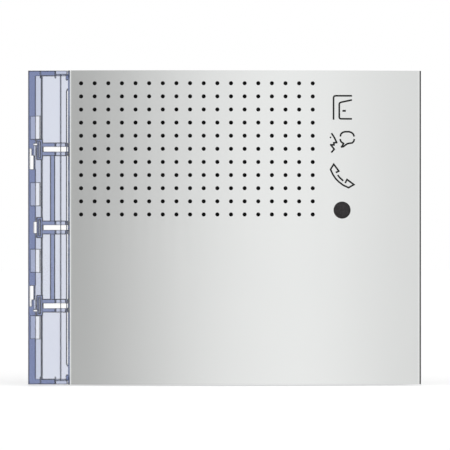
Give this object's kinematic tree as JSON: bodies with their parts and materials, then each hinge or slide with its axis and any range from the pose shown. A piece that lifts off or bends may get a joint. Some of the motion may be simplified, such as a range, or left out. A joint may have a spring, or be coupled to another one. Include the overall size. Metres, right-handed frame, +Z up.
{
  "type": "door intercom panel",
  "caption": "Wall door intercom speaker module: perforated curved metal faceplate on a translucent snap carrier, over a housing with speaker, microphone and terminals.",
  "frame": {"origin": "centre of the flat back face, halfway across the overall width and height", "axes": "+X right as seen by the visitor, +Y into the wall, +Z up; the faceplate faces -Y"},
  "size_m": [0.115, 0.034, 0.0918],
  "materials": {
    "satin_metal": "satin brushed",
    "translucent_carrier": "clear lavender polycarbonate",
    "black_cloth": "woven acoustic cloth",
    "smoked_diffuser": "smoked",
    "dark_foam": "open cell foam",
    "dark_plastic": "fine moulded texture",
    "black_rubber": "matt",
    "zinc_steel": "zinc plated",
    "brass": "turned",
    "board_laminate": "solder resist",
    "magnet": "nickel plated",
    "tan_cloth": "resin treated cloth",
    "black_film": "polyester film",
    "copper": "enamelled wire",
    "wire_insulation": "vinyl",
    "aluminium_can": "drawn",
    "led_lens": "clear resin",
    "clear_plastic": "clear",
    "chip_resin": "moulded",
    "ceramic_chip": "ceramic",
    "capacitor_sleeve": "sleeved",
    "relay_case": "moulded",
    "ivory_plastic": "moulded",
    "trimmer_blue": "moulded",
    "black_plastic": "moulded",
    "grey_plastic": "moulded",
    "gold_plate": "gold plated",
    "terminal_green": "moulded"
  },
  "bodies": {
    "module": {"front_shell": "dark_plastic", "perimeter_seal": "black_rubber", "rear_housing": "dark_plastic", "housing_screws": "zinc_steel", "fixing_inserts": "brass", "main_board": "board_laminate", "board_screws": "zinc_steel", "speaker_basket": "zinc_steel", "speaker_yoke": "zinc_steel", "speaker_magnet": "magnet", "speaker_top_plate": "zinc_steel", "speaker_spider": "tan_cloth", "speaker_surround": "black_rubber", "speaker_gasket": "dark_foam", "speaker_retainer": "dark_plastic", "retainer_screws": "zinc_steel", "speaker_leads": "wire_insulation", "microphone_boot": "black_rubber", "microphone_capsule": "aluminium_can", "indicator_leds": "led_lens", "light_pipes": "clear_plastic", "processor_chip": "chip_resin", "small_chips": "chip_resin", "chip_components": "ceramic_chip", "electrolytic_capacitors": "capacitor_sleeve", "lock_relay": "relay_case", "bus_inductor": "copper", "configurator_socket": "ivory_plastic", "speaker_volume_body": "trimmer_blue", "microphone_volume_body": "trimmer_blue", "programming_switch": "black_plastic", "link_socket_in": "ivory_plastic", "link_socket_out": "ivory_plastic", "link_pins": "gold_plate", "terminal_header": "terminal_green", "header_pins": "gold_plate"},
    "front_cover": {"faceplate": "satin_metal", "cover_carrier": "translucent_carrier", "acoustic_cloth": "black_cloth", "icon_diffuser": "smoked_diffuser", "microphone_foam": "dark_foam"},
    "speaker_diaphragm": {"speaker_cone": "black_film", "dust_cap": "black_film", "voice_coil": "copper"},
    "speaker_volume": {"speaker_volume_rotor": "ivory_plastic"},
    "microphone_volume": {"microphone_volume_rotor": "ivory_plastic"},
    "programming_key": {"programming_button": "grey_plastic"},
    "plug": {"terminal_plug": "terminal_green", "plug_contacts": "brass"},
    "screw_1": {"terminal_screw_1": "zinc_steel"},
    "cage_1": {"clamp_cage_1": "zinc_steel"},
    "screw_2": {"terminal_screw_2": "zinc_steel"},
    "cage_2": {"clamp_cage_2": "zinc_steel"},
    "screw_3": {"terminal_screw_3": "zinc_steel"},
    "cage_3": {"clamp_cage_3": "zinc_steel"},
    "screw_4": {"terminal_screw_4": "zinc_steel"},
    "cage_4": {"clamp_cage_4": "zinc_steel"}
  },
  "joints": [
    {"name": "cover_pull", "type": "slide", "parent": "module", "child": "front_cover", "axis": [0, -1, 0], "range_m": [0, 0.025]},
    {"name": "cone_travel", "type": "slide", "parent": "module", "child": "speaker_diaphragm", "axis": [0, -1, 0], "range_m": [-0.0005, 0.0005], "stiffness_N_per_m": 600},
    {"name": "speaker_volume_turn", "type": "hinge", "parent": "module", "child": "speaker_volume", "pos_m": [-0.022, -0.02, -0.018], "axis": [0, -1, 0], "range_deg": [-135, 135]},
    {"name": "microphone_volume_turn", "type": "hinge", "parent": "module", "child": "microphone_volume", "pos_m": [-0.008, -0.02, -0.018], "axis": [0, -1, 0], "range_deg": [-135, 135]},
    {"name": "key_press", "type": "slide", "parent": "module", "child": "programming_key", "axis": [0, 1, 0], "range_m": [0, 0.0005], "stiffness_N_per_m": 2500, "springref_m": -0.0004},
    {"name": "plug_pull", "type": "slide", "parent": "module", "child": "plug", "axis": [0, 1, 0], "range_m": [0, 0.012]},
    {"name": "screw_1_turn", "type": "hinge", "parent": "plug", "child": "screw_1", "pos_m": [-0.00762, -0.001, -0.037], "axis": [0, -1, 0], "range_deg": [0, 1081]},
    {"name": "cage_1_lift", "type": "slide", "parent": "plug", "child": "cage_1", "axis": [0, 1, 0], "range_m": [0, 0.00135]},
    {"name": "screw_2_turn", "type": "hinge", "parent": "plug", "child": "screw_2", "pos_m": [-0.00254, -0.001, -0.037], "axis": [0, -1, 0], "range_deg": [0, 1081]},
    {"name": "cage_2_lift", "type": "slide", "parent": "plug", "child": "cage_2", "axis": [0, 1, 0], "range_m": [0, 0.00135]},
    {"name": "screw_3_turn", "type": "hinge", "parent": "plug", "child": "screw_3", "pos_m": [0.00254, -0.001, -0.037], "axis": [0, -1, 0], "range_deg": [0, 1081]},
    {"name": "cage_3_lift", "type": "slide", "parent": "plug", "child": "cage_3", "axis": [0, 1, 0], "range_m": [0, 0.00135]},
    {"name": "screw_4_turn", "type": "hinge", "parent": "plug", "child": "screw_4", "pos_m": [0.00762, -0.001, -0.037], "axis": [0, -1, 0], "range_deg": [0, 1081]},
    {"name": "cage_4_lift", "type": "slide", "parent": "plug", "child": "cage_4", "axis": [0, 1, 0], "range_m": [0, 0.00135]}
  ],
  "couplings": [
    {"joint": "screw_1_turn", "follows": "cage_1_lift", "rad_per_m": 13963},
    {"joint": "screw_2_turn", "follows": "cage_2_lift", "rad_per_m": 13963},
    {"joint": "screw_3_turn", "follows": "cage_3_lift", "rad_per_m": 13963},
    {"joint": "screw_4_turn", "follows": "cage_4_lift", "rad_per_m": 13963}
  ]
}
